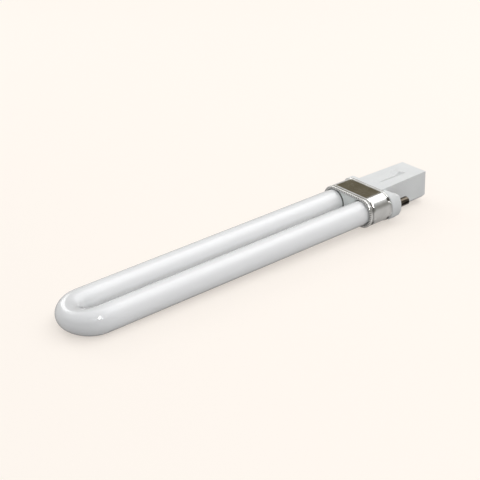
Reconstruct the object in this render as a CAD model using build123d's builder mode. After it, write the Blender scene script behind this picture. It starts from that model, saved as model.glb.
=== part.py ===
from build123d import *
import os

# A twin-tube ultraviolet lamp with a two-pin cap, in millimetres.
# X runs along the lamp: the plug points to +X and the bend of the glass to -X.
# The two tubes lie side by side along Y, and Z is up, square to both.
# The origin is on the seating plane of the cap, midway between the two contact pins.

os.makedirs("parts", exist_ok=True)

# Glass tube
tube_diameter = 9.7
tube_spacing = 14.8
bend_reach = 146.0          # seating plane to the outside of the bend
round_inside = 5.4          # full round tube hidden behind the holder's face
seal_taper = 2.0            # length over which the hot glass is pressed flat
seal_length = 3.0
seal_width = 8.4
seal_thickness = 2.4
exhaust_diameter = 2.4
exhaust_length = 1.2

# Tube holder, the moulded disc that the two tubes enter
holder_face = 15.6          # seating plane to the face that the tubes enter
holder_plate = 2.2
holder_wall = 0.7
socket_wall = 0.6           # the plate's rim outside each tube
holder_length = 6.5
socket_clearance = 0.2
cement_inset = 2.0          # from the middle of each tube to the cement's end
cement_gap = 0.4            # from the cement to where the tubes stop being round
cement_clearance = 0.03

# Metal sleeve
sleeve_sheet = 0.35
sleeve_rear = 5.0           # seating plane to the rear edge of the sleeve
sleeve_fit = 0.1
bead_radius = 0.75
bead_rise = 0.15            # how far the bead stands over the sleeve
groove_width = 0.55
groove_depth = 0.28
rim_lip = 0.5               # how far the rolled rim laps over the holder
rim_thickness = 0.65
rim_gap = 0.05
rear_edge_chamfer = 0.25

# Cap housing: collar and plug in one moulding
collar_rim = 0.65           # how far the collar stands out past the sleeve
collar_half_height = 5.0
collar_chamfer = 0.4
pad_rise = 1.3              # the pin pads stand this far behind the collar
pad_half_height = 4.3
pad_inner = 9.5             # half the distance between the two pads
pad_chamfer = 0.3
skirt_gap = 0.1
cavity_wall = 1.1
skirt_wall = 0.75
rear_wall = 2.8
plug_length = 21.5
plug_base_width = 14.2
plug_end_width = 12.9
plug_height = 11.9
plug_lower_chamfer = 1.7
plug_edge_chamfer = 0.3
plug_wall = 1.3

# Latch rib and barb on the upper and lower face of the plug
latch_width = 3.6
rib_start = -0.8
rib_ramp = 2.6
rib_height = 0.45
barb_start = 8.9
barb_peak = 10.7
barb_end = 14.6
barb_height = 1.5
barb_round = 0.3

# Contact pins
pin_spacing = 23.0
pin_diameter = 3.4
pin_length = 5.8
pin_nose = 0.7
pin_seam_width = 0.5
pin_seam_depth = 0.7
pin_seam_start = 0.5
pin_seat = 0.05             # depth of the shallow seat round the foot of each pin
pin_fit = 0.05
tail_diameter = 1.6
tail_reach = 4.7
rivet_diameter = 2.3
rivet_thickness = 0.4
rivet_gap = 0.04

# Glow starter and capacitor
bottle_diameter = 6.0
bottle_start = 5.2
bottle_length = 13.0
bottle_taper = 1.8
bottle_seal_length = 1.4
bottle_seal_width = 4.6
bottle_seal_thickness = 1.6
capacitor_length = 8.0
capacitor_thickness = 3.2
capacitor_height = 6.6
capacitor_round = 1.1
capacitor_start = 6.0
part_clearance = 0.2

# Wires
wire_diameter = 0.6
wire_sides = 12
wire_gap = 0.08
lead_spread = 1.5           # from the middle of a glass seal to each lead
starter_lead_height = 1.5
joint_gap = 1.2             # from the starter's seal to the capacitor's leads
seal_lead = 1.2             # straight wire out of a glass seal
starter_lead = 3.0          # straight wire into the starter's seal
pass_height = 0.5           # where the starter's wires pass through the rear wall
pass_edge = 1.7

# Places worked out from the sizes
half_spacing = tube_spacing / 2
tube_radius = tube_diameter / 2
bend_centre_x = -bend_reach + half_spacing + tube_radius
round_end_x = -holder_face + round_inside
seal_start_x = round_end_x + seal_taper
seal_end_x = seal_start_x + seal_length
holder_radius = tube_radius + socket_clearance + socket_wall
sleeve_inner = holder_radius + sleeve_fit
sleeve_radius = sleeve_inner + sleeve_sheet
collar_radius = sleeve_radius + collar_rim
holder_back_x = -holder_face + holder_length
skirt_front_x = holder_back_x + skirt_gap
collar_front_x = -sleeve_rear
collar_back_x = -pad_rise
skirt_inner = holder_radius - skirt_wall
cavity_half_height = collar_half_height - cavity_wall
rear_wall_x = -rear_wall
pin_y = pin_spacing / 2
wire_radius = wire_diameter / 2
cap_width = tube_spacing + 2 * collar_radius
plug_half_height = plug_height / 2
plug_cavity_width = plug_end_width - 2 * plug_wall
plug_cavity_height = plug_height - 2 * plug_wall
plug_cavity_end = plug_length - plug_wall
bottle_y = -plug_cavity_width / 2 + part_clearance + bottle_diameter / 2
capacitor_y = plug_cavity_width / 2 - part_clearance - capacitor_thickness / 2
bottle_seal_x = bottle_start - bottle_seal_length
pass_y = plug_cavity_width / 2 - pass_edge
plug_cavity_chamfer = plug_lower_chamfer - (2 - 2 ** 0.5) * plug_wall


# The sealed glass: two straight legs, a round bend, and a flat pressed seal at each end.
with BuildPart() as discharge_tube:
    with BuildSketch(Plane.YZ.offset(bend_centre_x)):
        with GridLocations(tube_spacing, 0, 2, 1):
            Circle(tube_radius)
    extrude(amount=round_end_x - bend_centre_x)
    with BuildSketch(Plane.YZ.offset(bend_centre_x)):
        with Locations((half_spacing, 0)):
            Circle(tube_radius)
    revolve(axis=Axis((bend_centre_x, 0, 0), (0, 0, 1)), revolution_arc=180)
    for side in (-half_spacing, half_spacing):
        with BuildSketch(Plane.YZ.offset(round_end_x)):
            with Locations((side, 0)):
                Circle(tube_radius)
        with BuildSketch(Plane.YZ.offset(seal_start_x)):
            with Locations((side, 0)):
                Ellipse(seal_width / 2, seal_thickness / 2)
        loft()
        with BuildSketch(Plane.YZ.offset(seal_start_x)):
            with Locations((side, 0)):
                Ellipse(seal_width / 2, seal_thickness / 2)
        extrude(amount=seal_length)
    with BuildSketch(Plane.YZ.offset(seal_end_x)):
        with Locations((half_spacing, 0)):
            Circle(exhaust_diameter / 2)
    extrude(amount=exhaust_length)
discharge_tube.part.label = "discharge_tube"
export_step(discharge_tube.part, "parts/discharge_tube.step")


# The moulded holder: a plate with a hole for each tube, and a skirt behind it.
with BuildPart() as tube_holder:
    with BuildSketch(Plane.YZ.offset(-holder_face)):
        SlotCenterToCenter(tube_spacing, 2 * holder_radius)
    extrude(amount=holder_length)
    with BuildSketch(Plane.YZ.offset(-holder_face + holder_plate)):
        SlotCenterToCenter(tube_spacing, 2 * (holder_radius - holder_wall))
    extrude(amount=holder_length - holder_plate, mode=Mode.SUBTRACT)
    with BuildSketch(Plane.YZ.offset(-holder_face)):
        with GridLocations(tube_spacing, 0, 2, 1):
            Circle(tube_radius + socket_clearance)
    extrude(amount=holder_plate, mode=Mode.SUBTRACT)
tube_holder.part.label = "tube_holder"
export_step(tube_holder.part, "parts/tube_holder.step")


# Cement between the tubes, behind the holder's plate.
cement_length = round_inside - holder_plate - cement_gap
with BuildPart() as tube_cement:
    with BuildSketch(Plane.YZ.offset(-holder_face + holder_plate)):
        Rectangle(tube_spacing - 2 * cement_inset, 2 * (holder_radius - holder_wall))
        with GridLocations(tube_spacing, 0, 2, 1):
            Circle(tube_radius + cement_clearance, mode=Mode.SUBTRACT)
    extrude(amount=cement_length)
tube_cement.part.label = "tube_cement"
export_step(tube_cement.part, "parts/tube_cement.step")


# The metal sleeve: one section of sheet, carried round both tubes. Its front edge is rolled to a
# bead with a flat front, which falls at 45 degrees into the groove behind it.
rim_back_x = -holder_face - rim_gap
bead_front_x = rim_back_x - rim_thickness
bead_x = bead_front_x + bead_radius
bead_z = sleeve_radius + bead_rise - bead_radius
bead_diagonal = bead_radius / 2 ** 0.5
groove_z = sleeve_radius - groove_depth
bead_foot_x = bead_x + bead_diagonal + (bead_z + bead_diagonal - groove_z)
lip_z = holder_radius - rim_lip
groove_end_x = bead_foot_x + groove_width
with BuildPart() as metal_sleeve:
    with BuildSketch(Plane.XZ.offset(half_spacing)) as sheet:
        with BuildLine():
            Polyline(
                (bead_x + bead_diagonal, bead_z + bead_diagonal),
                (bead_foot_x, groove_z),
                (groove_end_x - groove_depth, groove_z),
                (groove_end_x, sleeve_radius),
                (-sleeve_rear, sleeve_radius),
                (-sleeve_rear, sleeve_inner),
                (rim_back_x, sleeve_inner),
                (rim_back_x, lip_z),
                (bead_front_x, lip_z),
                (bead_front_x, bead_z),
            )
            ThreePointArc(
                (bead_front_x, bead_z),
                (bead_x, bead_z + bead_radius),
                (bead_x + bead_diagonal, bead_z + bead_diagonal),
            )
        make_face()
        rear_corner = sheet.vertices().group_by(Axis.X)[-1].sort_by(Axis.Y)[-1]
        chamfer(rear_corner, rear_edge_chamfer)
    extrude(amount=-half_spacing)
    mirror(about=Plane.XY)
    with BuildSketch(Plane.XZ.offset(half_spacing)):
        add(sheet.sketch_local)
    revolve(axis=Axis((0, -half_spacing, 0), (1, 0, 0)), revolution_arc=180)
    mirror(about=Plane.XZ)
metal_sleeve.part.label = "metal_sleeve"
export_step(metal_sleeve.part, "parts/metal_sleeve.step")


# The white moulding: skirt, collar with flats above and below, pin pads and the hollow plug.
with BuildPart() as cap_housing:
    with BuildSketch(Plane.YZ.offset(skirt_front_x)):
        SlotCenterToCenter(tube_spacing, 2 * holder_radius)
    extrude(amount=collar_front_x - skirt_front_x)
    with BuildSketch(Plane.YZ.offset(collar_front_x)):
        SlotCenterToCenter(tube_spacing, 2 * collar_radius)
        Rectangle(cap_width, 2 * collar_half_height, mode=Mode.INTERSECT)
    extrude(amount=collar_back_x - collar_front_x)
    chamfer(cap_housing.faces().sort_by(Axis.X)[-1].edges(), collar_chamfer)
    with BuildSketch(Plane.YZ.offset(collar_front_x)):
        SlotCenterToCenter(tube_spacing, 2 * collar_radius)
        Rectangle(cap_width, 2 * pad_half_height, mode=Mode.INTERSECT)
        Rectangle(2 * pad_inner, cap_width, mode=Mode.SUBTRACT)
    extrude(amount=-collar_front_x)
    pads = cap_housing.faces().filter_by(Axis.X).group_by(Axis.X)[-1]
    chamfer(pads.edges(), pad_chamfer)
    for x, width in ((collar_front_x, plug_base_width), (plug_length, plug_end_width)):
        with BuildSketch(Plane.YZ.offset(x)) as section:
            Rectangle(width, plug_height)
            chamfer(section.vertices().group_by(Axis.Y)[0], plug_lower_chamfer)
    loft()
    rim = cap_housing.faces().sort_by(Axis.X)[-1].edges()
    chamfer(rim, plug_edge_chamfer)
    with BuildSketch(Plane.XZ) as latch:
        with BuildLine():
            Polyline(
                (rib_start, 0),
                (rib_start, plug_half_height),
                (rib_start + rib_ramp, plug_half_height + rib_height),
                (barb_start, plug_half_height + rib_height),
                (barb_peak, plug_half_height + barb_height),
                (barb_end, plug_half_height),
                (barb_end, 0),
                close=True,
            )
        make_face()
        mirror(about=Plane.XZ)
        fillet(latch.vertices().filter_by_position(Axis.X, barb_start, barb_peak), barb_round)
    extrude(amount=latch_width / 2, both=True)
    with BuildSketch(Plane.YZ.offset(skirt_front_x)):
        SlotCenterToCenter(tube_spacing, 2 * skirt_inner)
        Rectangle(cap_width, 2 * cavity_half_height, mode=Mode.INTERSECT)
    extrude(amount=rear_wall_x - skirt_front_x, mode=Mode.SUBTRACT)
    with BuildSketch(Plane.YZ.offset(rear_wall_x)):
        SlotCenterToCenter(tube_spacing, 2 * (collar_radius - cavity_wall))
        Rectangle(cap_width, 2 * cavity_half_height, mode=Mode.INTERSECT)
    extrude(amount=rear_wall - tail_reach, mode=Mode.SUBTRACT)
    with BuildSketch(Plane.YZ.offset(rear_wall_x)) as cavity:
        Rectangle(plug_cavity_width, plug_cavity_height)
        chamfer(cavity.vertices().group_by(Axis.Y)[0], plug_cavity_chamfer)
    extrude(amount=plug_cavity_end - rear_wall_x, mode=Mode.SUBTRACT)
    for side in (-pin_y, pin_y):
        with BuildSketch(Plane.YZ.offset(-pin_seat)):
            with Locations((side, 0)):
                Circle(pin_diameter / 2 + pin_fit)
        extrude(amount=pin_seat, mode=Mode.SUBTRACT)
        with BuildSketch(Plane.YZ.offset(rear_wall_x)):
            with Locations((side, 0)):
                Circle(tail_diameter / 2 + pin_fit)
        extrude(amount=rear_wall - pin_seat, mode=Mode.SUBTRACT)
cap_housing.part.label = "cap_housing"
export_step(cap_housing.part, "parts/cap_housing.step")


# The contact pins: each has a seam along its outward side. The pin's foot sits in the pad,
# and its tail goes on through the rear wall and is riveted behind it.
pin_radius = pin_diameter / 2
tail_radius = tail_diameter / 2
for name, side in (("contact_pin_near", -1), ("contact_pin_far", 1)):
    with BuildPart() as contact_pin:
        with BuildSketch(Plane.XY) as section:
            with Locations((0, side * pin_y)):
                with Locations(((pin_length - pin_seat) / 2, 0)):
                    Rectangle(pin_length + pin_seat, pin_diameter)
                    chamfer(section.vertices().group_by(Axis.X)[-1], pin_nose)
                with Locations((-(tail_reach + pin_seat) / 2, 0)):
                    Rectangle(tail_reach - pin_seat, tail_diameter)
                with Locations((-rear_wall - rivet_gap - rivet_thickness / 2, 0)):
                    Rectangle(rivet_thickness, rivet_diameter)
            split(bisect_by=Plane.XZ.offset(-side * pin_y), keep=Keep.TOP)
        revolve(axis=Axis((0, side * pin_y, 0), (1, 0, 0)))
        with BuildSketch(Plane.XY):
            with Locations((pin_seam_start + pin_length / 2, side * (pin_y + pin_radius))):
                Rectangle(pin_length, 2 * pin_seam_depth)
        extrude(amount=pin_seam_width / 2, both=True, mode=Mode.SUBTRACT)
    contact_pin.part.label = name
    export_step(contact_pin.part, f"parts/{name}.step")


# The glow starter: a small glass bottle with a flat seal.
with BuildPart() as starter_bottle:
    with BuildSketch(Plane.XY) as section:
        with Locations((bottle_start + bottle_length / 2, bottle_y)):
            Rectangle(bottle_length, bottle_diameter)
        chamfer(section.vertices(), bottle_taper)
        split(bisect_by=Plane.XZ.offset(-bottle_y), keep=Keep.TOP)
    revolve(axis=Axis((0, bottle_y, 0), (1, 0, 0)))
    with BuildSketch(Plane.YZ.offset(bottle_seal_x)):
        with Locations((bottle_y, 0)):
            Rectangle(bottle_seal_thickness, bottle_seal_width)
    extrude(amount=bottle_seal_length + bottle_taper)
starter_bottle.part.label = "starter_bottle"
export_step(starter_bottle.part, "parts/starter_bottle.step")


# The capacitor beside it, with two bent leads that reach the starter's wires.
joint_x = bottle_seal_x - joint_gap
with BuildPart() as starter_capacitor:
    with BuildSketch(Plane.YZ.offset(capacitor_start)):
        with Locations((capacitor_y, 0)):
            Rectangle(capacitor_thickness, capacitor_height)
    extrude(amount=capacitor_length)
    fillet(starter_capacitor.edges().filter_by(Axis.Y), capacitor_round)
    for height in (starter_lead_height, -starter_lead_height):
        with BuildLine() as lead:
            Polyline(
                (capacitor_start + wire_diameter, capacitor_y, height),
                (joint_x, capacitor_y, height),
                (joint_x, bottle_y + wire_diameter + wire_gap, height),
            )
        with BuildSketch(Plane(origin=lead.line @ 0, z_dir=lead.line % 0)):
            RegularPolygon(wire_radius, wire_sides)
        sweep(path=lead.line, transition=Transition.RIGHT)
starter_capacitor.part.label = "starter_capacitor"
export_step(starter_capacitor.part, "parts/starter_capacitor.step")


# The four bare wires from the glass seals: one of each pair to a pin, the other to the starter.
pin_wire_x = seal_end_x + seal_lead
routes = {}
for name, side in (("near", -1), ("far", 1)):
    outer_y = side * (half_spacing + lead_spread)
    inner_y = side * (half_spacing - lead_spread)
    height = -side * starter_lead_height
    routes[f"pin_wire_{name}"] = [
        (seal_end_x, outer_y, 0),
        (pin_wire_x, outer_y, 0),
        (pin_wire_x, side * (pin_y - tail_radius - wire_gap), 0),
    ]
    routes[f"starter_wire_{name}"] = [
        (seal_end_x, inner_y, 0),
        (seal_end_x + seal_lead, inner_y, 0),
        (rear_wall_x + wire_diameter, side * pass_y, -side * pass_height),
        (bottle_seal_x - starter_lead, bottle_y, height),
        (bottle_seal_x, bottle_y, height),
    ]
for name, points in routes.items():
    with BuildPart() as wire:
        with BuildLine() as route:
            Polyline(*points)
        with BuildSketch(Plane(origin=route.line @ 0, z_dir=route.line % 0)):
            RegularPolygon(wire_radius, wire_sides)
        sweep(path=route.line, transition=Transition.RIGHT)
    wire.part.label = name
    export_step(wire.part, f"parts/{name}.step")
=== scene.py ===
import bpy
import numpy as np
from mathutils import Matrix, Vector


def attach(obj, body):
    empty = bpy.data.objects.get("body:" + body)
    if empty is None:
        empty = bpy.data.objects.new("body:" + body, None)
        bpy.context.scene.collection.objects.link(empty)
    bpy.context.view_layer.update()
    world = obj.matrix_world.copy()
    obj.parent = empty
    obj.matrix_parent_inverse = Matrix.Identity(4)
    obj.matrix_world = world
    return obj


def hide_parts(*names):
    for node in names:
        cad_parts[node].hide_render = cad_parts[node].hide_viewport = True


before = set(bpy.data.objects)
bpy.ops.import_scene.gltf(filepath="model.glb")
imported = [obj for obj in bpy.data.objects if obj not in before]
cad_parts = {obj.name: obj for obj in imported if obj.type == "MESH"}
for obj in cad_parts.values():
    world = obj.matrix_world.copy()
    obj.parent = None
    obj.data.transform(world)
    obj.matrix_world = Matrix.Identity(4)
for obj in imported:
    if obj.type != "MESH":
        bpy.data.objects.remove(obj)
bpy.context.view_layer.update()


# The surface that the lamp lies on, pale and plain. The latch barb and the bottom of the bend rest
# on it, so it slopes a little along the lamp. It glows faintly to the camera and in reflections,
# and its matt paint keeps the lamp's shadow.
mm = 0.001
half_floor = 4.0
barb_foot = (10.7 * mm, -7.45 * mm)
bend_foot = (-136.0 * mm, -4.85 * mm)
cream = (1.0, 0.930, 0.863, 1.0)
warm_paint = (0.93, 0.875, 0.81, 1.0)
grey_paint = (0.50, 0.495, 0.49, 1.0)
glow_strength = 1.12
glow_seen = 0.48
glow_mirrored = 0.18

slope = (barb_foot[1] - bend_foot[1]) / (barb_foot[0] - bend_foot[0])
ground = half_floor * np.array([[-1.0, -1.0], [1.0, -1.0], [1.0, 1.0], [-1.0, 1.0]])
ground_z = barb_foot[1] + slope * (ground[:, 0] - barb_foot[0])
floor_mesh = bpy.data.meshes.new("floor")
floor_mesh.from_pydata(np.column_stack([ground, ground_z]).tolist(), [], [(0, 1, 2, 3)])
floor = bpy.data.objects.new("floor", floor_mesh)
bpy.context.scene.collection.objects.link(floor)


def multiplied(nodes, links, first, second):
    """The product of two values, each a number or another node's output."""
    product = nodes.new("ShaderNodeMath")
    product.operation = "MULTIPLY"
    for socket, value in zip(product.inputs, (first, second)):
        if isinstance(value, float):
            socket.default_value = value
        else:
            links.new(value, socket)
    return product.outputs[0]


floor_paint = bpy.data.materials.new("pale_surface")
floor_paint.use_nodes = True
nodes, links = floor_paint.node_tree.nodes, floor_paint.node_tree.links
nodes.clear()
# The camera sees warm paint, while the light that the floor throws back on the lamp is grey.
path = nodes.new("ShaderNodeLightPath")
matt = nodes.new("ShaderNodeBsdfDiffuse")
paint = nodes.new("ShaderNodeMix")
paint.data_type = "RGBA"
paint.inputs["A"].default_value = grey_paint
paint.inputs["B"].default_value = warm_paint
glow = nodes.new("ShaderNodeEmission")
glow.inputs["Color"].default_value = cream
glow.inputs["Strength"].default_value = glow_strength
seen = nodes.new("ShaderNodeMath")
seen.operation = "MAXIMUM"
share = nodes.new("ShaderNodeMath")
share.operation = "MAXIMUM"
blend = nodes.new("ShaderNodeMixShader")
out = nodes.new("ShaderNodeOutputMaterial")
links.new(path.outputs["Is Camera Ray"], paint.inputs["Factor"])
links.new(paint.outputs["Result"], matt.inputs["Color"])
links.new(path.outputs["Is Camera Ray"], seen.inputs[0])
links.new(path.outputs["Is Transmission Ray"], seen.inputs[1])
links.new(multiplied(nodes, links, seen.outputs[0], glow_seen), share.inputs[0])
links.new(multiplied(nodes, links, path.outputs["Is Glossy Ray"], glow_mirrored), share.inputs[1])
links.new(share.outputs[0], blend.inputs["Fac"])
links.new(matt.outputs[0], blend.inputs[1])
links.new(glow.outputs[0], blend.inputs[2])
links.new(blend.outputs[0], out.inputs["Surface"])
floor.data.materials.append(floor_paint)


# Studio light: a cool white room, brighter from above. What shines mirrors the room itself, with
# a pale horizon, dimmer walls, one dark brown corner past the cap and a small bright window pane
# on the near side. The camera sees plain cream.
room_light = (0.985, 0.99, 1.0, 1.0)
wall_foot = (0.70, 0.69, 0.67, 1.0)
wall_tones = (
    (0.07, (0.66, 0.65, 0.63, 1.0)),
    (0.2, (0.40, 0.39, 0.36, 1.0)),
    (0.36, (0.34, 0.33, 0.30, 1.0)),
    (0.6, (0.70, 0.70, 0.69, 1.0)),
)
ceiling = (0.95, 0.95, 0.94, 1.0)
corner_way = (0.549, 0.702, 0.454)
corner_brown = (0.100, 0.084, 0.050, 1.0)
pane_way = (-0.069, -0.655, 0.753)
pane_strength = 90.0


def graded(nodes, given, wanted, smooth=False):
    """A value that goes through the wanted range as its input goes through the given one."""
    step = nodes.new("ShaderNodeMapRange")
    if smooth:
        step.interpolation_type = "SMOOTHSTEP"
    step.inputs["From Min"].default_value = given[0]
    step.inputs["From Max"].default_value = given[1]
    step.inputs["To Min"].default_value = wanted[0]
    step.inputs["To Max"].default_value = wanted[1]
    return step


def patch(nodes, links, looking, way, near_way, strength):
    """A round patch of the room: the strength where the looking direction lies close to the way."""
    closeness = nodes.new("ShaderNodeVectorMath")
    closeness.operation = "DOT_PRODUCT"
    closeness.inputs[1].default_value = way
    links.new(looking, closeness.inputs[0])
    spot = graded(nodes, near_way, (0.0, strength), smooth=True)
    links.new(closeness.outputs["Value"], spot.inputs["Value"])
    return spot.outputs["Result"]


room = bpy.data.worlds.new("room")
bpy.context.scene.world = room
room.use_nodes = True
nodes, links = room.node_tree.nodes, room.node_tree.links
nodes.clear()
path = nodes.new("ShaderNodeLightPath")
place = nodes.new("ShaderNodeTexCoord")
way = nodes.new("ShaderNodeSeparateXYZ")
links.new(place.outputs["Generated"], way.inputs["Vector"])

from_above = graded(nodes, (0.0, 1.0), (0.44, 0.88))
around = nodes.new("ShaderNodeBackground")
around.inputs["Color"].default_value = room_light
links.new(way.outputs["Z"], from_above.inputs["Value"])
links.new(from_above.outputs["Result"], around.inputs["Strength"])

walls = nodes.new("ShaderNodeValToRGB")
walls.color_ramp.elements[0].color = wall_foot
walls.color_ramp.elements[1].color = ceiling
for height, tone in wall_tones:
    walls.color_ramp.elements.new(height).color = tone
links.new(way.outputs["Z"], walls.inputs["Fac"])

# The dark corner ends above a pale skirting.
corner = patch(nodes, links, place.outputs["Generated"], corner_way, (0.86, 0.94), 1.0)
skirting = graded(nodes, (0.10, 0.24), (0.0, 1.0), smooth=True)
room_colour = nodes.new("ShaderNodeMix")
room_colour.data_type = "RGBA"
room_colour.inputs["B"].default_value = corner_brown
links.new(way.outputs["Z"], skirting.inputs["Value"])
links.new(multiplied(nodes, links, corner, skirting.outputs["Result"]), room_colour.inputs["Factor"])
links.new(walls.outputs["Color"], room_colour.inputs["A"])

# The far side of the room is brighter than the near side, apart from the window pane.
far_side = graded(nodes, (-1.0, 1.0), (0.66, 1.45))
pane = patch(nodes, links, place.outputs["Generated"], pane_way, (0.9945, 0.9975), pane_strength)
strength = nodes.new("ShaderNodeMath")
strength.operation = "ADD"
mirrored = nodes.new("ShaderNodeBackground")
links.new(way.outputs["Y"], far_side.inputs["Value"])
links.new(far_side.outputs["Result"], strength.inputs[0])
links.new(pane, strength.inputs[1])
links.new(room_colour.outputs["Result"], mirrored.inputs["Color"])
links.new(strength.outputs[0], mirrored.inputs["Strength"])

backdrop = nodes.new("ShaderNodeBackground")
backdrop.inputs["Color"].default_value = cream
shine = nodes.new("ShaderNodeMixShader")
pick = nodes.new("ShaderNodeMixShader")
out = nodes.new("ShaderNodeOutputWorld")
links.new(path.outputs["Is Glossy Ray"], shine.inputs["Fac"])
links.new(around.outputs[0], shine.inputs[1])
links.new(mirrored.outputs[0], shine.inputs[2])
links.new(path.outputs["Is Camera Ray"], pick.inputs["Fac"])
links.new(shine.outputs[0], pick.inputs[1])
links.new(backdrop.outputs[0], pick.inputs[2])
links.new(pick.outputs[0], out.inputs["Surface"])


# Three lamps. A wide softbox hangs above and beyond the cap and draws the line along each tube. A
# broad strip leans behind the bend and draws its arc, and a small window lights the near side.
def panel(name, place, aim, size, power, lean=0.0):
    """A flat rectangular light at a place, facing its aim. Its first side is level, then turned by
    the lean in degrees."""
    lamp = bpy.data.lights.new(name, "AREA")
    lamp.shape = "RECTANGLE"
    lamp.size, lamp.size_y = size
    lamp.energy = power
    light = bpy.data.objects.new(name, lamp)
    bpy.context.scene.collection.objects.link(light)
    back = (Vector(place) - Vector(aim)).normalized()
    level = Vector((1.0, 0.0, 0.0))
    level = (level - back * level.dot(back)).normalized()
    turn = Matrix((level, back.cross(level), back)).transposed().to_4x4()
    tilt = Matrix.Rotation(np.radians(lean), 4, "Z")
    light.matrix_world = Matrix.Translation(place) @ turn @ tilt


panel(
    "softbox",
    place=(0.475, -0.08, 0.64),
    aim=(0.475, -0.079, 0.0),
    size=(0.65, 0.64),
    power=1.6,
)
panel(
    "strip",
    place=(-0.085, 0.560, 0.345),
    aim=(-0.085, 0.0, 0.345),
    size=(0.19, 0.32),
    power=0.53,
    lean=-17.4,
)
panel(
    "window",
    place=(-0.178, -0.399, 0.453),
    aim=(-0.137, -0.0106, 0.003),
    size=(0.15, 0.075),
    power=0.30,
)


# The camera stands on the near side, past the bend, with a long lens. It looks along the lamp to
# the cap, and is rolled by a few degrees.
photographer = Vector((-0.295476, -0.293989, 0.195621))
looked_at = Vector((-0.066755, 0.003616, 0.001787))
roll = np.radians(-2.36)
back = (photographer - looked_at).normalized()
right = Vector((0.0, 0.0, 1.0)).cross(back).normalized()
up = back.cross(right)
level_right = right * np.cos(roll) + up * np.sin(roll)
level_up = up * np.cos(roll) - right * np.sin(roll)
lens = bpy.data.cameras.new("camera")
lens.lens = 85.80
lens.sensor_width = 36.0
lens.clip_start = 0.01
lens.clip_end = 20.0
camera = bpy.data.objects.new("camera", lens)
bpy.context.scene.collection.objects.link(camera)
camera_turn = Matrix((level_right, level_up, back)).transposed().to_4x4()
camera.matrix_world = Matrix.Translation(photographer) @ camera_turn
bpy.context.scene.camera = camera
bpy.context.scene.view_settings.view_transform = "Standard"


# The glass: one clear tube bent to a U while hot, coated inside with white powder, so that it
# reads as glossy white. Both ends are pressed flat behind the holder, round the wires inside.
tube_radius = 4.85
half_spacing = 7.4
bend_x = -133.75
round_end_x = -10.2
press_length = 2.0
seal_x = np.array([-6.7, -5.3, -5.2])
seal_wide, seal_high = 4.2, 1.2
seal_rounding = np.array([0.0, 0.05, 0.3])
inner_swell, top_sink, bottom_sink = 0.03, 0.18, 0.10
coating_tones = ((0.3, (0.94, 0.945, 0.95, 1.0)), (0.75, (0.97, 0.975, 0.975, 1.0)))
entry_shadow = (-16.3 * mm, -15.8 * mm)
grey_bend = (-146.0 * mm, -124.0 * mm)


def ring_surface(name, rings, looped=False):
    """A closed skin over rings of points, first axis along the piece and second round it. It has a
    pole at each end, or its last ring joins its first."""
    count, around, _ = rings.shape
    here = np.arange(count * around).reshape(count, around)
    if looped:
        here = np.concatenate([here, here[:1]])
    after = np.roll(here, -1, axis=1)
    quads = np.stack([here[:-1], here[1:], after[1:], after[:-1]], axis=-1).reshape(-1, 4)
    points = rings.reshape(-1, 3)
    faces = quads.tolist()
    if not looped:
        poles = np.stack([rings[0].mean(axis=0), rings[-1].mean(axis=0)])
        start, end = len(points), len(points) + 1
        points = np.concatenate([points, poles])
        first = np.stack([here[0], after[0], np.full(around, start)], axis=-1)
        last = np.stack([after[-1], here[-1], np.full(around, end)], axis=-1)
        faces += first.tolist() + last.tolist()
    mesh = bpy.data.meshes.new(name)
    mesh.from_pydata(points.tolist(), [], faces)
    mesh.polygons.foreach_set("use_smooth", np.ones(len(mesh.polygons), bool))
    mesh.update()
    piece = bpy.data.objects.new(name, mesh)
    bpy.context.scene.collection.objects.link(piece)
    return piece


def bent_tube():
    """A circle carried along two straight legs and a half-circle bend, and pressed to a flat
    ellipse at each end. In the bend its inner side swells and its top and bottom sink, each by
    the sine squared of the turn."""
    press = np.linspace(0.0, 1.0, 13)
    ease = press * press * (3 - 2 * press)
    leg_x = np.linspace(bend_x, round_end_x, 90)[:-1]
    half_x = np.concatenate([leg_x, round_end_x + press_length * press, seal_x])
    round_leg = np.full(len(leg_x), tube_radius)
    taper_wide = tube_radius + (seal_wide - tube_radius) * ease
    taper_high = tube_radius + (seal_high - tube_radius) * ease
    half_wide = np.concatenate([round_leg, taper_wide, seal_wide - seal_rounding])
    half_high = np.concatenate([round_leg, taper_high, seal_high - seal_rounding])

    turn = np.linspace(0.0, np.pi, 97)[1:-1]
    arc_out = np.stack([-np.sin(turn), -np.cos(turn)], axis=-1)
    arc = np.array([bend_x, 0.0]) + half_spacing * arc_out
    near = np.stack([half_x[::-1], np.full(len(half_x), -half_spacing)], axis=-1)
    far = np.stack([half_x, np.full(len(half_x), half_spacing)], axis=-1)
    near_out = np.tile([0.0, -1.0], (len(near), 1))
    far_out = np.tile([0.0, 1.0], (len(far), 1))
    centre = np.concatenate([near, arc, far])
    outward = np.concatenate([near_out, arc_out, far_out])
    round_arc = np.full(len(arc), tube_radius)
    wide = np.concatenate([half_wide[::-1], round_arc, half_wide])[:, None]
    high = np.concatenate([half_high[::-1], round_arc, half_high])[:, None]
    straight = np.zeros(len(near))
    bent = np.concatenate([straight, np.sin(turn) ** 2, straight])[:, None]

    angle = np.linspace(2 * np.pi, 0.0, 97)[:-1]
    across = wide * np.cos(angle)
    across = np.where(across < 0, across * (1 + inner_swell * bent), across)
    z = high * np.sin(angle)
    z = np.where(z > 0, z * (1 - top_sink * bent), z * (1 - bottom_sink * bent))
    x = centre[:, 0:1] + outward[:, 0:1] * across
    y = centre[:, 1:2] + outward[:, 1:2] * across
    return np.stack([x, y, z], axis=-1) * mm


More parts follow.
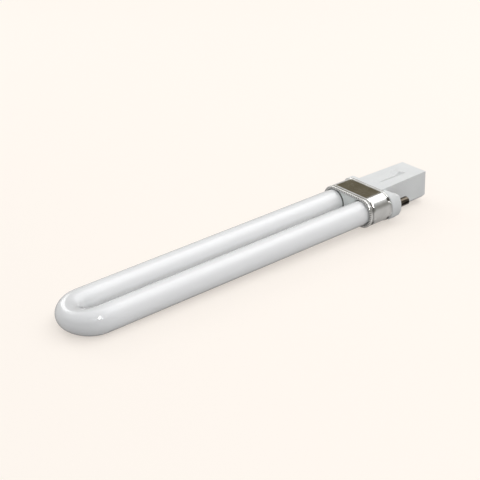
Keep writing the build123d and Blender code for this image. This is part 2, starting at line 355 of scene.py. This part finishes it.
def new_finish(name, **plain):
    """A material with its nodes, links and shader. Each word given after the name is a socket."""
    finish = bpy.data.materials.new(name)
    finish.use_nodes = True
    nodes, links = finish.node_tree.nodes, finish.node_tree.links
    shader = nodes["Principled BSDF"]
    for socket, value in plain.items():
        shader.inputs[socket.replace("_", " ")].default_value = value
    return finish, nodes, links, shader


def cloudy(nodes, scale, detail=2.0):
    """Soft noise, with its scale in clouds to the metre."""
    noise = nodes.new("ShaderNodeTexNoise")
    noise.inputs["Scale"].default_value = scale
    noise.inputs["Detail"].default_value = detail
    return noise


def two_tone(nodes, tones):
    """A ramp between two tones, each a place on the ramp and its colour."""
    ramp = nodes.new("ShaderNodeValToRGB")
    for element, (position, colour) in zip(ramp.color_ramp.elements, tones):
        element.position = position
        element.color = colour
    return ramp


glass_tube = ring_surface("glass_tube", bent_tube())
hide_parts("discharge_tube")
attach(glass_tube, "root")

coated, nodes, links, shader = new_finish(
    "coated_glass",
    Roughness=0.38,
    Coat_Weight=1.0,
    Coat_Roughness=0.09,
    Coat_IOR=1.52,
    Subsurface_Weight=0.8,
    Subsurface_Radius=(1.0, 1.0, 1.0),
    Subsurface_Scale=6.0 * mm,
)
place = nodes.new("ShaderNodeTexCoord")
split = nodes.new("ShaderNodeSeparateXYZ")
cloud = cloudy(nodes, 60.0, 3.0)
tone = two_tone(nodes, coating_tones)
links.new(place.outputs["Object"], split.inputs["Vector"])
links.new(place.outputs["Object"], cloud.inputs["Vector"])
links.new(cloud.outputs["Fac"], tone.inputs["Fac"])

# The colour is painted darker where the surface turns away from the camera: painted shade at the
# clear wall's edge. A painted shadow lies where the glass enters the holder, and the coating is
# darker round the bend.
turned_away = nodes.new("ShaderNodeLayerWeight")
painted_edge_shade = graded(nodes, (0.60, 0.95), (1.0, 0.38))
painted_entry_shade = graded(nodes, entry_shadow, (1.0, 0.12))
greyer = graded(nodes, grey_bend, (0.77, 1.0), smooth=True)
links.new(turned_away.outputs["Facing"], painted_edge_shade.inputs["Value"])
links.new(split.outputs["X"], painted_entry_shade.inputs["Value"])
links.new(split.outputs["X"], greyer.inputs["Value"])
# The painted edge shade and the painted entry shadow, multiplied together.
painted_shades = multiplied(nodes, links, painted_edge_shade.outputs["Result"], painted_entry_shade.outputs["Result"])
tinted = nodes.new("ShaderNodeVectorMath")
tinted.operation = "SCALE"
links.new(tone.outputs["Color"], tinted.inputs[0])
links.new(multiplied(nodes, links, painted_shades, greyer.outputs["Result"]), tinted.inputs["Scale"])
links.new(tinted.outputs["Vector"], shader.inputs["Base Color"])
glass_tube.data.materials.append(coated)


# The holder: a grey-green moulded disc that the tubes pass through. It is satin with a fine
# grain, and sits in the front of the sleeve.
def moulded(name, colour, other, roughness, scale, lift):
    """Moulded plastic: two close tones mixed by soft noise, and a fine grain that lifts the
    surface a little."""
    plastic, nodes, links, shader = new_finish(name, Roughness=roughness)
    place = nodes.new("ShaderNodeTexCoord")
    cloud = cloudy(nodes, 90.0, 4.0)
    tone = two_tone(nodes, ((0.35, colour), (0.7, other)))
    grain = cloudy(nodes, scale)
    bump = nodes.new("ShaderNodeBump")
    bump.inputs["Strength"].default_value = 0.35
    bump.inputs["Distance"].default_value = lift
    links.new(place.outputs["Object"], cloud.inputs["Vector"])
    links.new(place.outputs["Object"], grain.inputs["Vector"])
    links.new(cloud.outputs["Fac"], tone.inputs["Fac"])
    links.new(tone.outputs["Color"], shader.inputs["Base Color"])
    links.new(grain.outputs["Fac"], bump.inputs["Height"])
    links.new(bump.outputs["Normal"], shader.inputs["Normal"])
    return plastic


def dress(node, material):
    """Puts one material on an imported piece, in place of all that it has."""
    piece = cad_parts[node]
    piece.data.materials.clear()
    piece.data.materials.append(material)


grey_green = (0.84, 0.87, 0.85, 1)
paler_green = (0.90, 0.93, 0.91, 1)
holder_plastic = moulded("holder_plastic", grey_green, paler_green, 0.5, 2500.0, 0.02 * mm)
dress("tube_holder", holder_plastic)


# The sleeve: nickelled sheet drawn round both tubes, with its front edge rolled to a reeded bead
# and its rear edge to a small lip. Behind the groove and in front of the lip, small crimps bite
# into the moulding inside and hold it.
sleeve_radius = 6.1
sleeve_rear_x = -5.0
bead_x, bead_z, bead_radius = -15.55, 5.5, 0.75
bead_turn = (205.0, 45.0)
groove_x, groove_rise_x, groove_depth = -14.81, -14.54, 0.28
lip_reach, lip_rise, lip_sink = 0.4, 0.38, 0.05
inside_z, plate_x, inside_edge_z = 5.75, -15.65, 5.15
reed_pitch, reed_depth = 0.95, 0.17
reed_middle, reed_spread = 165.0, 36.0
shoulder_angle = 40.0
crimp_depth = 0.34
front_crimp = (-14.15, 0.62, 15.0)
rear_crimp = (-5.50, 0.46, 8.0)
plate_tones = ((0.3, (0.70, 0.70, 0.69, 1)), (0.7, (0.86, 0.86, 0.85, 1)))
# The near black that painted shade and painted dark reflection mix into the sleeve's colour.
painted_shade_dark = (0.045, 0.040, 0.034, 1.0)


def sheet_section():
    """The sheet's closed outline, as x and the distance from the line between the tube axes: an
    arc for the bead, an eased step out of the groove, a straight wall, a half ellipse for the
    rear lip, and a straight way back inside."""
    curl = np.radians(np.linspace(*bead_turn, 26))
    bead = np.stack([bead_x + bead_radius * np.cos(curl), bead_z + bead_radius * np.sin(curl)], axis=-1)
    floor_z = sleeve_radius - groove_depth
    run = np.linspace(0.0, 1.0, 6)
    ease = run * run * (3 - 2 * run)
    rise = np.stack([groove_rise_x + groove_depth * run, floor_z + groove_depth * ease], axis=-1)
    groove = np.concatenate([[[groove_x - 0.1, floor_z + 0.08], [groove_x, floor_z]], rise])
    by_groove = np.linspace(-14.1, -12.9, 9)
    plain = np.linspace(-12.5, -7.2, 14)
    by_lip = np.linspace(-6.9, -5.86, 12)
    wall_x = np.concatenate([by_groove, plain, by_lip])
    wall = np.stack([wall_x, np.full(len(wall_x), sleeve_radius)], axis=-1)
    roll = np.radians(np.linspace(180.0, 0.0, 11))
    lip_x = sleeve_rear_x - lip_reach + lip_reach * np.cos(roll)
    lip_z = sleeve_radius - lip_sink + lip_rise * np.sin(roll)
    lip = np.stack([lip_x, lip_z], axis=-1)
    inside_x = (sleeve_rear_x, -10.0, plate_x, plate_x)
    inside = np.column_stack([inside_x, (inside_z, inside_z, inside_z, inside_edge_z)])
    return np.concatenate([bead, groove, wall, lip, inside]), len(bead), len(inside)


def slot_loop(count):
    """Points evenly spaced round the slot that holds both tubes: the distance along it, the place
    on the line between the tube axes, and the outward angle from straight up."""
    straight, turn = 2 * half_spacing, np.pi * sleeve_radius
    along = np.arange(count) * 2 * (straight + turn) / count
    corners = np.cumsum([0.0, straight, turn, straight, turn])
    sides = (-half_spacing, half_spacing, half_spacing, -half_spacing, -half_spacing)
    core = np.interp(along, corners, sides)
    angle = np.interp(along, corners, [0.0, 0.0, np.pi, np.pi, 2 * np.pi])
    return along, core, angle


def sleeve_points(count=820):
    """The sheet's outline carried round the loop, and how strongly each point is darkened by painted
    shade and painted dark reflection, from 0 to 1. The reeding is a rounded wave along the loop that
    cuts into the bead's front. A crimp is a dent that falls off by the square of the distance along
    x and round the tube."""
    outline, bead_rows, inside_rows = sheet_section()
    along, core, angle = slot_loop(count)
    x = np.repeat(outline[:, :1], count, axis=1)
    radius = np.repeat(outline[:, 1:], count, axis=1)

    reeds = np.round(along[-1] / reed_pitch) * 2 * np.pi * np.arange(count) / count
    flute = (0.5 + 0.5 * np.cos(reeds)) ** 2
    curl = np.linspace(*bead_turn, bead_rows)
    front = np.zeros((len(outline), 1))
    front[:bead_rows, 0] = np.exp(-((curl - reed_middle) / reed_spread) ** 2)
    x = x + reed_depth * front * flute

    skin = np.zeros((len(outline), 1))
    skin[bead_rows:-inside_rows] = 1.0
    from_shoulder = np.abs(np.abs(np.degrees(np.mod(angle, np.pi)) - 90.0) - shoulder_angle)
    dents = np.zeros_like(x)
    for crimp_x, length, spread in (front_crimp, rear_crimp):
        beside = np.exp(-((x - crimp_x) / length) ** 2) * np.exp(-(from_shoulder / spread) ** 2)
        dents = np.maximum(dents, beside * skin)
    radius = radius - crimp_depth * dents

    # Painted shade and painted dark reflection darken the colour in the groove, in the crimps and
    # between the reeds. In the groove they are wider and darker at the shoulders.
    groove_middle = (groove_x + groove_rise_x) / 2
    shade_width = 0.26 + 0.34 * np.exp(-(from_shoulder / 32.0) ** 2)
    shade_strength = 0.35 + 0.65 * np.exp(-(from_shoulder / 30.0) ** 2)
    painted_groove_shade = np.exp(-((x - groove_middle) / shade_width) ** 2) * shade_strength * skin
    painted_crevice_shade = np.clip(np.maximum(1.6 * dents, painted_groove_shade), 0.0, 1.0)
    painted_crevice_shade = np.maximum(painted_crevice_shade, 0.95 * np.clip(front * flute, 0.0, 1.0))

    y = core + radius * np.sin(angle)
    z = radius * np.cos(angle)
    return np.stack([x, y, z], axis=-1) * mm, painted_crevice_shade


sleeve_rings, painted_crevice_shades = sleeve_points()
sleeve = ring_surface("nickel_sleeve", sleeve_rings, looped=True)
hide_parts("metal_sleeve")
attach(sleeve, "root")
# The painted shade and dark reflection are stored on the sleeve's points for its material.
painted_shade_mask = sleeve.data.attributes.new("painted_crevice_shade", "FLOAT", "POINT")
painted_shade_mask.data.foreach_set("value", painted_crevice_shades.ravel().astype(np.float32))

nickel, nodes, links, shader = new_finish("nickelled_sleeve", Metallic=1.0)
place = nodes.new("ShaderNodeTexCoord")
drawn = nodes.new("ShaderNodeMapping")
drawn.inputs["Scale"].default_value = (160.0, 2600.0, 2600.0)
fine = cloudy(nodes, 1.0, 3.0)
stain = cloudy(nodes, 170.0, 5.0)
plate = two_tone(nodes, plate_tones)
# The sleeve's colour is mixed towards near black by the painted shade and dark reflection.
painted_shade_attribute = nodes.new("ShaderNodeAttribute")
painted_shade_attribute.attribute_name = "painted_crevice_shade"
colour = nodes.new("ShaderNodeMix")
colour.data_type = "RGBA"
colour.inputs["B"].default_value = painted_shade_dark
polish = graded(nodes, (0.0, 1.0), (0.17, 0.27))
bump = nodes.new("ShaderNodeBump")
bump.inputs["Strength"].default_value = 0.25
bump.inputs["Distance"].default_value = 0.01 * mm
links.new(place.outputs["Object"], drawn.inputs["Vector"])
links.new(drawn.outputs["Vector"], fine.inputs["Vector"])
links.new(place.outputs["Object"], stain.inputs["Vector"])
links.new(stain.outputs["Fac"], plate.inputs["Fac"])
links.new(painted_shade_attribute.outputs["Fac"], colour.inputs["Factor"])
links.new(plate.outputs["Color"], colour.inputs["A"])
links.new(colour.outputs["Result"], shader.inputs["Base Color"])
links.new(stain.outputs["Fac"], polish.inputs["Value"])
links.new(polish.outputs["Result"], shader.inputs["Roughness"])
links.new(fine.outputs["Fac"], bump.inputs["Height"])
links.new(bump.outputs["Normal"], shader.inputs["Normal"])
sleeve.data.materials.append(nickel)


# The cap's white moulding: collar, pin pads and plug in one hollow piece. It is hard plastic with
# a low gloss and a fine grain, and it fits into the rear of the sleeve.
cap_white = (0.79, 0.80, 0.795, 1)
paler_white = (0.83, 0.84, 0.83, 1)
white_plastic = moulded("white_plastic", cap_white, paler_white, 0.45, 1800.0, 0.01 * mm)
dress("cap_housing", white_plastic)


# The two contact pins: bright metal, fixed in the cap's pads. They have gone dark with handling,
# and are streaked along their length.
pin_tones = ((0.38, (0.018, 0.015, 0.012, 1)), (0.66, (0.20, 0.17, 0.135, 1)))
pin_metal, nodes, links, shader = new_finish("pin_metal", Metallic=1.0, Roughness=0.3)
place = nodes.new("ShaderNodeTexCoord")
lengthways = nodes.new("ShaderNodeMapping")
lengthways.inputs["Scale"].default_value = (120.0, 2200.0, 2200.0)
streak = cloudy(nodes, 1.0, 4.0)
tarnish = two_tone(nodes, pin_tones)
links.new(place.outputs["Object"], lengthways.inputs["Vector"])
links.new(lengthways.outputs["Vector"], streak.inputs["Vector"])
links.new(streak.outputs["Fac"], tarnish.inputs["Fac"])
links.new(tarnish.outputs["Color"], shader.inputs["Base Color"])
for name in ("contact_pin_near", "contact_pin_far"):
    dress(name, pin_metal)


# The cement between the tube ends: a fired filler, matt and grainy. It is hidden behind the
# holder's plate, and fixes the glass to the holder.
cement_tan = (0.50, 0.46, 0.38, 1)
paler_tan = (0.66, 0.62, 0.53, 1)
cement = moulded("cement", cement_tan, paler_tan, 0.85, 900.0, 0.05 * mm)
dress("tube_cement", cement)


# The glow starter inside the plug: a small blown bottle of clear glass with a slightly wavy
# wall, held by its wires.
bottle_glass, nodes, links, shader = new_finish(
    "clear_glass",
    Base_Color=(0.85, 0.9, 0.9, 1.0),
    Roughness=0.05,
    Transmission_Weight=0.8,
)
place = nodes.new("ShaderNodeTexCoord")
wave = cloudy(nodes, 300.0)
bump = nodes.new("ShaderNodeBump")
bump.inputs["Strength"].default_value = 0.2
bump.inputs["Distance"].default_value = 0.05 * mm
links.new(place.outputs["Object"], wave.inputs["Vector"])
links.new(wave.outputs["Fac"], bump.inputs["Height"])
links.new(bump.outputs["Normal"], shader.inputs["Normal"])
dress("starter_bottle", bottle_glass)


# The capacitor beside the starter's bottle: a flat block dipped in brown resin, glossy and a
# little uneven, on its two leads.
resin_brown = (0.16, 0.05, 0.02, 1)
redder_brown = (0.24, 0.08, 0.03, 1)
capacitor_coat = moulded("capacitor_coat", resin_brown, redder_brown, 0.3, 700.0, 0.04 * mm)
dress("starter_capacitor", capacitor_coat)


# The bare wires from the pressed ends of the glass to the pins and to the starter: drawn metal,
# slightly dull, bent to shape.
wire_grey = (0.42, 0.40, 0.37, 1)
paler_grey = (0.55, 0.53, 0.50, 1)
lead_wire = moulded("lead_wire", wire_grey, paler_grey, 0.35, 3000.0, 0.01 * mm)
lead_wire.node_tree.nodes["Principled BSDF"].inputs["Metallic"].default_value = 1.0
for name in ("pin_wire_near", "pin_wire_far", "starter_wire_near", "starter_wire_far"):
    dress(name, lead_wire)
